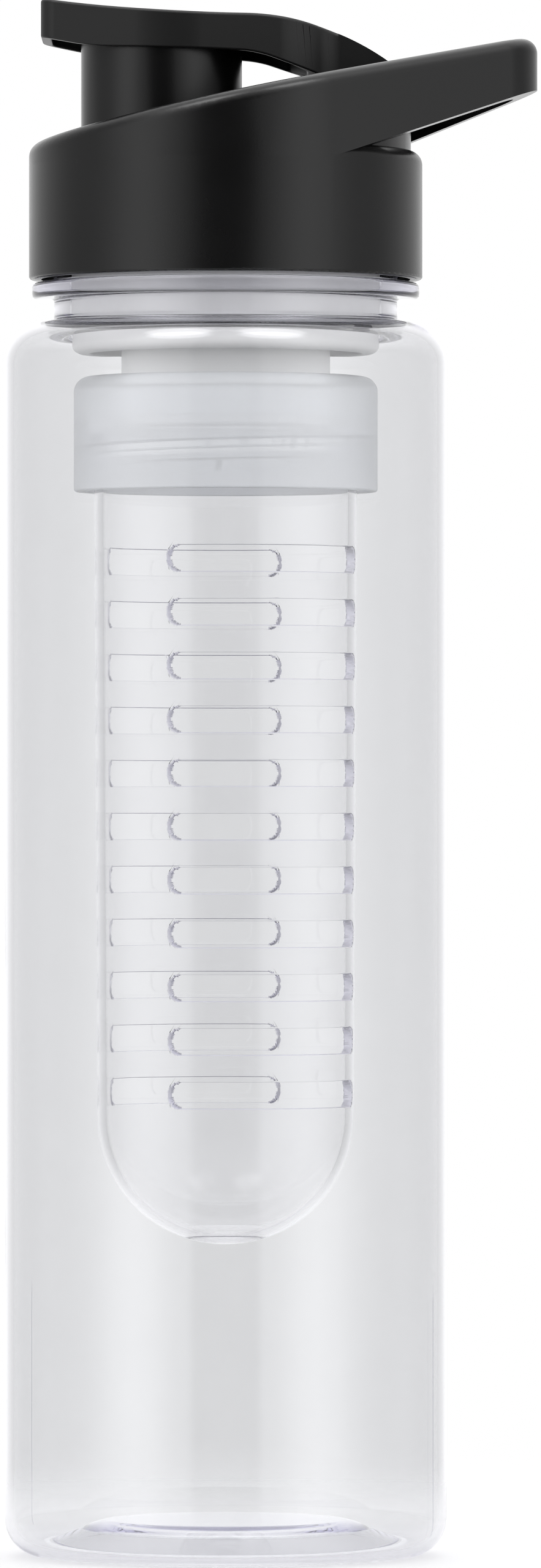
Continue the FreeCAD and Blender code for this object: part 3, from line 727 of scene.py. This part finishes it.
WHITE = (1, 1, 1, 1)
LILAC = (0.8, 0.79, 0.9, 1)
CLEAR_SHADOW = (0.985, 0.985, 0.99, 1)
FROSTED_SHADOW = (0.96, 0.96, 0.965, 1)

# Mould seam: its turn about the axis in degrees, where it ends, and its colour.
SEAM_TURN = -21.0
SEAM_INNER_R = 35.8
SEAM_OUTER_R = 36.2
SEAM_TOP = 46.0
SEAM_FULL_TO = 42.0
SEAM_HALF_WIDTH = 0.3
SEAM_COLOR = (0.42, 0.42, 0.5, 1)


def new_tree(name):
    """A new material and its empty node tree."""
    material = bpy.data.materials.new(name)
    material.use_nodes = True
    material.node_tree.nodes.clear()
    return material, material.node_tree


def add_node(tree, kind, values=None, **settings):
    """Add a node with its settings. Each input's value is written out or comes from another node."""
    node = tree.nodes.new(kind)
    for key, value in settings.items():
        setattr(node, key, value)
    for key, value in (values or {}).items():
        if isinstance(value, bpy.types.NodeSocket):
            tree.links.new(value, node.inputs[key])
        else:
            node.inputs[key].default_value = value
    return node


def worked_out(tree, operation, first, second=0.0):
    """A value worked out from one or two values."""
    return add_node(tree, "ShaderNodeMath", {0: first, 1: second}, operation=operation).outputs[0]


def spread(tree, source, low, high):
    """Map a value of 0 to 1 onto low to high."""
    values = {"Value": source, "To Min": low, "To Max": high}
    return add_node(tree, "ShaderNodeMapRange", values).outputs["Result"]


def smooth_step(tree, source, start, end, full=1.0):
    """A value that goes smoothly from nothing at the start to full at the end."""
    values = {"Value": source, "From Min": start, "From Max": end, "To Max": full}
    return add_node(tree, "ShaderNodeMapRange", values, interpolation_type="SMOOTHSTEP").outputs["Result"]


def tint(tree, source, dark, light):
    """Mix two colours by a value."""
    mix = add_node(tree, "ShaderNodeMix", {0: source, COLOR_A: dark, COLOR_B: light}, data_type="RGBA")
    return mix.outputs[COLOR_MIXED]


def mixed_shaders(tree, share, first, second):
    """One shader that goes over into another by a share."""
    return add_node(tree, "ShaderNodeMixShader", {0: share, 1: first, 2: second}).outputs[0]


def bumped(tree, height, strength, distance):
    """A normal bumped by a height, its distance in millimetres."""
    values = {"Height": height, "Strength": strength, "Distance": distance * MM}
    return add_node(tree, "ShaderNodeBump", values).outputs["Normal"]


def new_group(name, inputs, outputs):
    """A shader node group with float inputs and outputs."""
    group = bpy.data.node_groups.new(name, "ShaderNodeTree")
    for label, value in inputs.items():
        socket = group.interface.new_socket(name=label, in_out="INPUT", socket_type="NodeSocketFloat")
        socket.default_value = value
    for label in outputs:
        group.interface.new_socket(name=label, in_out="OUTPUT", socket_type="NodeSocketFloat")
    return group, group.nodes.new("NodeGroupInput"), group.nodes.new("NodeGroupOutput")


def make_skin_group():
    """Fine moulded grain and slow unevenness of a plastic skin."""
    patterns = (
        ("Grain Size", "Grain", 3.0, (1, 1, 1)),
        ("Wave Size", "Waves", 1.0, (1, 1, 0.35)),
        ("Wave Size", "Haze", 6.0, (1, 1, 1)),
    )
    sizes = {"Grain Size": 0.3, "Wave Size": 12.0}
    group, entry, leave = new_group("plastic_skin", sizes, [output for _, output, _, _ in patterns])
    place = add_node(group, "ShaderNodeTexCoord").outputs["Object"]
    for size, output, detail, stretch in patterns:
        scale = worked_out(group, "DIVIDE", 1 / MM, entry.outputs[size])
        shape = add_node(group, "ShaderNodeMapping", {"Vector": place, "Scale": stretch})
        noise = add_node(group, "ShaderNodeTexNoise", {
            "Vector": shape.outputs["Vector"], "Scale": scale, "Detail": detail, "Roughness": 0.55})
        group.links.new(noise.outputs["Fac"], leave.inputs[output])
    return group


def make_seam_group():
    """Mask of the mould's parting line, low on both sides of the bottle's outer wall."""
    group, entry, leave = new_group("mould_seam", {"Half Width": SEAM_HALF_WIDTH}, ["Seam"])
    place = add_node(group, "ShaderNodeTexCoord").outputs["Object"]
    turned = add_node(group, "ShaderNodeMapping", {
        "Vector": place, "Rotation": (0, 0, math.radians(-SEAM_TURN))})
    parts = add_node(group, "ShaderNodeSeparateXYZ", {0: turned.outputs["Vector"]})
    half_width = worked_out(group, "MULTIPLY", entry.outputs["Half Width"], MM)
    seam = 1.0
    for axis, start, end in (
            ("Y", half_width, 0.0),
            ("X", SEAM_INNER_R * MM, SEAM_OUTER_R * MM),
            ("Z", SEAM_TOP * MM, SEAM_FULL_TO * MM)):
        size = worked_out(group, "ABSOLUTE", parts.outputs[axis])
        seam = worked_out(group, "MULTIPLY", seam, smooth_step(group, size, start, end))
    group.links.new(seam, leave.inputs["Seam"])
    return group


def place_skin(tree, skin, grain_size, wave_size):
    """The outputs of the plastic skin at its sizes in millimetres."""
    values = {"Grain Size": grain_size, "Wave Size": wave_size}
    return add_node(tree, "ShaderNodeGroup", values, node_tree=skin).outputs


def shadow_through(tree, shader, color):
    """The shader for all that is seen, and a plain clear one for shadows."""
    clear = add_node(tree, "ShaderNodeBsdfTransparent", {"Color": color})
    path = add_node(tree, "ShaderNodeLightPath")
    return mixed_shaders(tree, path.outputs["Is Shadow Ray"], shader, clear.outputs[0])


def clear_plastic(name, skin, ior, dull, bright, density, roughness, wave_strength, clear=1.0, seam=None):
    """Clear plastic: a hazy skin, a faint lilac in its depth and the slow waves of a moulded wall."""
    material, tree = new_tree(name)
    surface = place_skin(tree, skin, grain_size=0.6, wave_size=9.0)
    color = tint(tree, surface["Haze"], dull, bright)
    if seam:
        line = add_node(tree, "ShaderNodeGroup", node_tree=seam)
        color = tint(tree, line.outputs["Seam"], color, SEAM_COLOR)
    shader = add_node(tree, "ShaderNodeBsdfPrincipled", {
        "Base Color": color,
        "Roughness": spread(tree, surface["Haze"], roughness * 0.5, roughness * 1.5),
        "Normal": bumped(tree, surface["Waves"], wave_strength, distance=0.2),
        "IOR": ior, "Transmission Weight": clear, "Metallic": 0.0})
    depth = add_node(tree, "ShaderNodeVolumeAbsorption", {"Color": LILAC, "Density": density})
    add_node(tree, "ShaderNodeOutputMaterial", {
        "Surface": shadow_through(tree, shader.outputs[0], CLEAR_SHADOW), "Volume": depth.outputs[0]})
    return material


def solid_plastic(name, skin, dark, light, roughness, grain_size, grain_strength,
                  specular=0.5, transmission=0.0, ior=1.49):
    """Moulded plastic: a grain that breaks its gloss and a slow change of colour and roughness."""
    material, tree = new_tree(name)
    surface = place_skin(tree, skin, grain_size, wave_size=14.0)
    shader = add_node(tree, "ShaderNodeBsdfPrincipled", {
        "Base Color": tint(tree, surface["Haze"], dark, light),
        "Roughness": spread(tree, surface["Haze"], *roughness),
        "Normal": bumped(tree, surface["Grain"], grain_strength, distance=0.03),
        "IOR": ior, "Specular IOR Level": specular, "Transmission Weight": transmission, "Metallic": 0.0})
    seen = shader.outputs[0]
    if transmission:
        seen = shadow_through(tree, seen, FROSTED_SHADOW)
    add_node(tree, "ShaderNodeOutputMaterial", {"Surface": seen})
    return material


def bottle_plastic(skin):
    """The bottle's clear plastic, with its mould's parting line."""
    return clear_plastic("clear_bottle", skin, 1.57, (0.9, 0.904, 0.905, 1), (0.93, 0.934, 0.935, 1),
                         density=55.0, roughness=0.01, wave_strength=0.05, seam=make_seam_group())


def basket_plastic(skin):
    return clear_plastic("clear_basket", skin, 1.27, (0.995, 0.995, 0.998, 1), WHITE,
                         density=10.0, roughness=0.015, wave_strength=0.05)


def cut_plastic(skin):
    """The basket's plastic where the slots cut it: rougher, and pale lilac."""
    return clear_plastic("clear_cut", skin, 1.02, (0.93, 0.92, 0.98, 1), (0.97, 0.965, 1, 1),
                         density=10.0, roughness=0.2, wave_strength=0.2, clear=0.25)


def white_plastic(skin):
    return solid_plastic("white_plastic", skin, (0.86, 0.86, 0.855, 1), (0.9, 0.9, 0.895, 1),
                         roughness=(0.3, 0.45), grain_size=0.4, grain_strength=0.1, specular=0.2)


def frosted_plastic(skin):
    return solid_plastic("frosted_plastic", skin, (0.9, 0.912, 0.92, 1), (0.93, 0.94, 0.95, 1),
                         roughness=(0.28, 0.36), grain_size=0.4, grain_strength=0.1,
                         transmission=0.55, ior=1.2)


def black_plastic(name, skin, roughness):
    return solid_plastic(name, skin, (0.002, 0.002, 0.002, 1), (0.0035, 0.0035, 0.0037, 1),
                         roughness, grain_size=0.25, grain_strength=0.25)


def pale_silicone(skin):
    return solid_plastic("silicone", skin, (0.78, 0.79, 0.8, 1), (0.84, 0.85, 0.86, 1),
                         roughness=(0.5, 0.65), grain_size=0.5, grain_strength=0.1)


def ground_steel(skin):
    material, tree = new_tree("steel_pin")
    surface = place_skin(tree, skin, grain_size=0.15, wave_size=3.0)
    shader = add_node(tree, "ShaderNodeBsdfPrincipled", {
        "Base Color": tint(tree, surface["Haze"], (0.5, 0.5, 0.51, 1), (0.65, 0.65, 0.66, 1)),
        "Roughness": spread(tree, surface["Grain"], 0.2, 0.4),
        "Normal": bumped(tree, surface["Grain"], strength=0.1, distance=0.01),
        "Metallic": 1.0})
    add_node(tree, "ShaderNodeOutputMaterial", {"Surface": shader.outputs[0]})
    return material


# Camera, floor and light, in metres

CAMERA_SIDE = 0.0074
CAMERA_DISTANCE = 1.84
CAMERA_HEIGHT = 0.1219
AIM_HEIGHT = 0.12745
PHOTO_HEIGHT = 2560
PIXELS_PER_METRE = 9877
SENSOR = 36

FLOOR_COLOR = (0.75, 0.75, 0.755, 1)
FLOOR_GLOW = 0.3
FLOOR_FADE = (0.06, 0.3)

# Even light on what is lit from all round, and the gain of the panels that are mirrored in the object.
AMBIENT = 0.42
PANEL_GAIN = 1.25

# Brightness of the mirrored studio by the angle from the camera's side, in degrees to either hand.
PANELS = (
    (180, 1.0), (166, 0.84), (157, 0.7), (148, 0.61), (140, 0.54), (115, 0.41), (100, 0.34), (80, 0.43),
    (70, 0.6), (62, 0.82), (50, 1.0), (41, 0.9), (34, 0.7), (27, 0.5), (20.5, 0.4), (16, 0.05), (0, 0.03),
)

# Mirrored overhead lights: where they stand, the cosines of their edge and full core, and their strength.
OVERHEAD = (
    ((-0.29, -0.27, 0.92), 0.97, 0.988, 3.5),
    ((0.29, -0.27, 0.92), 0.97, 0.988, 3.5),
    ((0, 0, 1), 0.5, 0.9, 0.7),
)

# Lamps: name, place, height of their aim on the axis, size and power in watts.
LAMPS = (
    ("left_panel", (-1.12, -0.7, 0.5), 0.13, (0.8, 1.2), 12.0),
    ("right_panel", (1.12, -0.7, 0.5), 0.13, (0.8, 1.2), 12.0),
    ("back_panel", (0, 1.3, 0.6), 0.13, (0.8, 1.2), 5.0),
    ("top_panel", (0, 0.1, 1.4), 0.1, (1.2, 1.2), 3.0),
)

# Light goes through many clear walls before it leaves the bottle.
CLEAR_BOUNCES = 40
GLOSSY_BOUNCES = 24


def place_and_aim(thing, place, target):
    """Bring an object into the scene at its place, looking at a target."""
    bpy.context.scene.collection.objects.link(thing)
    thing.location = place
    thing.rotation_euler = (Vector(target) - Vector(place)).to_track_quat("-Z", "Y").to_euler()


def make_camera():
    """Camera at the photograph's viewing angle: level, far off and a little to the right of the axis."""
    data = bpy.data.cameras.new("camera")
    camera = bpy.data.objects.new("camera", data)
    place_and_aim(camera, (CAMERA_SIDE, -CAMERA_DISTANCE, CAMERA_HEIGHT), (CAMERA_SIDE, 0, AIM_HEIGHT))
    data.sensor_fit = "VERTICAL"
    data.sensor_height = SENSOR
    data.lens = PIXELS_PER_METRE * CAMERA_DISTANCE / PHOTO_HEIGHT * SENSOR
    bpy.context.scene.camera = camera


def shown_rays(tree, path):
    """One for rays that show the background: straight from the camera, or by way of gloss or glass."""
    shown = path.outputs["Is Camera Ray"]
    for kind in ("Is Glossy Ray", "Is Transmission Ray"):
        shown = worked_out(tree, "MAXIMUM", shown, path.outputs[kind])
    return shown


def make_floor():
    """Pale floor that fades into the white background away from the bottle's soft shadow."""
    bpy.ops.object.select_all(action="DESELECT")
    bpy.ops.mesh.primitive_grid_add(x_subdivisions=8, y_subdivisions=8, size=12, location=(0, 0, 0))
    floor = bpy.context.object
    floor.name = "floor"
    material, tree = new_tree("pale_floor")
    shown = shown_rays(tree, add_node(tree, "ShaderNodeLightPath"))
    shader = add_node(tree, "ShaderNodeBsdfPrincipled", {
        "Base Color": FLOOR_COLOR, "Roughness": 0.7, "Specular IOR Level": 0.2,
        "Emission Color": WHITE, "Emission Strength": worked_out(tree, "MULTIPLY", shown, FLOOR_GLOW)})
    place = add_node(tree, "ShaderNodeTexCoord").outputs["Object"]
    away = add_node(tree, "ShaderNodeVectorMath", {0: place}, operation="LENGTH").outputs["Value"]
    gone = worked_out(tree, "MULTIPLY", smooth_step(tree, away, *FLOOR_FADE), shown)
    clear = add_node(tree, "ShaderNodeBsdfTransparent")
    seen = mixed_shaders(tree, gone, shader.outputs[0], clear.outputs[0])
    add_node(tree, "ShaderNodeOutputMaterial", {"Surface": seen})
    floor.data.materials.append(material)


def cosine_to(tree, direction, aim):
    """The cosine between a direction and an aim."""
    product = add_node(tree, "ShaderNodeVectorMath", {0: direction, 1: aim}, operation="DOT_PRODUCT")
    return product.outputs["Value"]


def standing_panels(tree, direction):
    """Brightness of the studio round the object, at every height the same."""
    flat = add_node(tree, "ShaderNodeVectorMath", {0: direction, 1: (1, 1, 0)}, operation="MULTIPLY")
    level = add_node(tree, "ShaderNodeVectorMath", {0: flat.outputs[0]}, operation="NORMALIZE")
    front = cosine_to(tree, level.outputs[0], (0, -1, 0))
    share = add_node(tree, "ShaderNodeMapRange", {"Value": front, "From Min": -1, "From Max": 1})
    panels = add_node(tree, "ShaderNodeValToRGB", {0: share.outputs[0]})
    ramp = panels.color_ramp
    while len(ramp.elements) > 1:
        ramp.elements.remove(ramp.elements[-1])
    for i, (turn, brightness) in enumerate(PANELS):
        spot = (math.cos(math.radians(turn)) + 1) / 2
        stop = ramp.elements[0] if i == 0 else ramp.elements.new(spot)
        stop.position = spot
        stop.color = (brightness, brightness, brightness, 1)
    return panels.outputs["Color"]


def make_world():
    """White studio. Its reflection has tall soft panels in front and a dark gap where the camera stands."""
    world = bpy.data.worlds.new("studio")
    bpy.context.scene.world = world
    world.use_nodes = True
    world.cycles.sampling_method = "NONE"
    tree = world.node_tree
    tree.nodes.clear()
    direction = add_node(tree, "ShaderNodeTexCoord").outputs["Generated"]
    shine = worked_out(tree, "MULTIPLY", standing_panels(tree, direction), PANEL_GAIN)
    for aim, edge, core, strength in OVERHEAD:
        towards = cosine_to(tree, direction, Vector(aim).normalized())
        shine = worked_out(tree, "ADD", shine, smooth_step(tree, towards, edge, core, strength))
    path = add_node(tree, "ShaderNodeLightPath")
    mirrored = worked_out(tree, "GREATER_THAN", path.outputs["Glossy Depth"], 0.5)
    look = add_node(tree, "ShaderNodeMix", {"Factor": mirrored, "A": 1.0, "B": shine})
    strength = add_node(tree, "ShaderNodeMix", {
        "Factor": shown_rays(tree, path), "A": AMBIENT, "B": look.outputs["Result"]})
    sky = add_node(tree, "ShaderNodeBackground", {"Color": WHITE, "Strength": strength.outputs["Result"]})
    add_node(tree, "ShaderNodeOutputWorld", {"Surface": sky.outputs[0]})


def make_lamp(name, place, aim_height, size, power):
    """A soft panel lamp whose reflection is left to the studio's own panels."""
    data = bpy.data.lights.new(name, "AREA")
    data.shape = "RECTANGLE"
    data.size, data.size_y = size
    data.energy = power
    lamp = bpy.data.objects.new(name, data)
    place_and_aim(lamp, place, (0, 0, aim_height))
    lamp.visible_glossy = False
    lamp.visible_transmission = False
    lamp.visible_camera = False


# The whole bottle

def build():
    """Make every piece with its finish and hang it on its body."""
    skin = make_skin_group()
    silicone = pale_silicone(skin)
    gloss = black_plastic("black_plastic", skin, (0.22, 0.3))
    satin = black_plastic("black_satin", skin, (0.4, 0.48))
    rim = (NECK_BORE_R, HOLDER_FLANGE_R, NECK_TOP, HOLDER_FLANGE_LOW)
    deck = (DECK_RING_R, HOLDER_FLANGE_R, HOLDER_TOP, DECK_RING_TOP)

    dress(make_bottle(), "bottle", "bottle_body", bottle_plastic(skin))
    dress(make_holder(), "holder", "infuser_holder", white_plastic(skin))
    dress(make_collar(), "collar", "infuser_collar", frosted_plastic(skin))
    basket = make_basket(basket_plastic(skin), cut_plastic(skin))
    dress(basket, "basket", "infuser_basket")
    dress(make_gasket("rim_ring", *rim), "holder", "rim_gasket", silicone)
    dress(make_gasket("deck_ring", *deck), "gasket", "cap_gasket", silicone)
    dress(make_cap(), "cap", "screw_cap", gloss)
    dress(make_lid(), "lid", "flip_lid", satin)
    for node, material in (("spout_seal", silicone), ("hinge_pin", ground_steel(skin))):
        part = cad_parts[node]
        part.data.materials.clear()
        part.data.materials.append(material)


build()
make_camera()
make_floor()
make_world()
for lamp_words in LAMPS:
    make_lamp(*lamp_words)
bpy.context.scene.view_settings.view_transform = "Standard"
light_paths = bpy.context.scene.cycles
light_paths.max_bounces = CLEAR_BOUNCES
light_paths.transmission_bounces = CLEAR_BOUNCES
light_paths.glossy_bounces = GLOSSY_BOUNCES
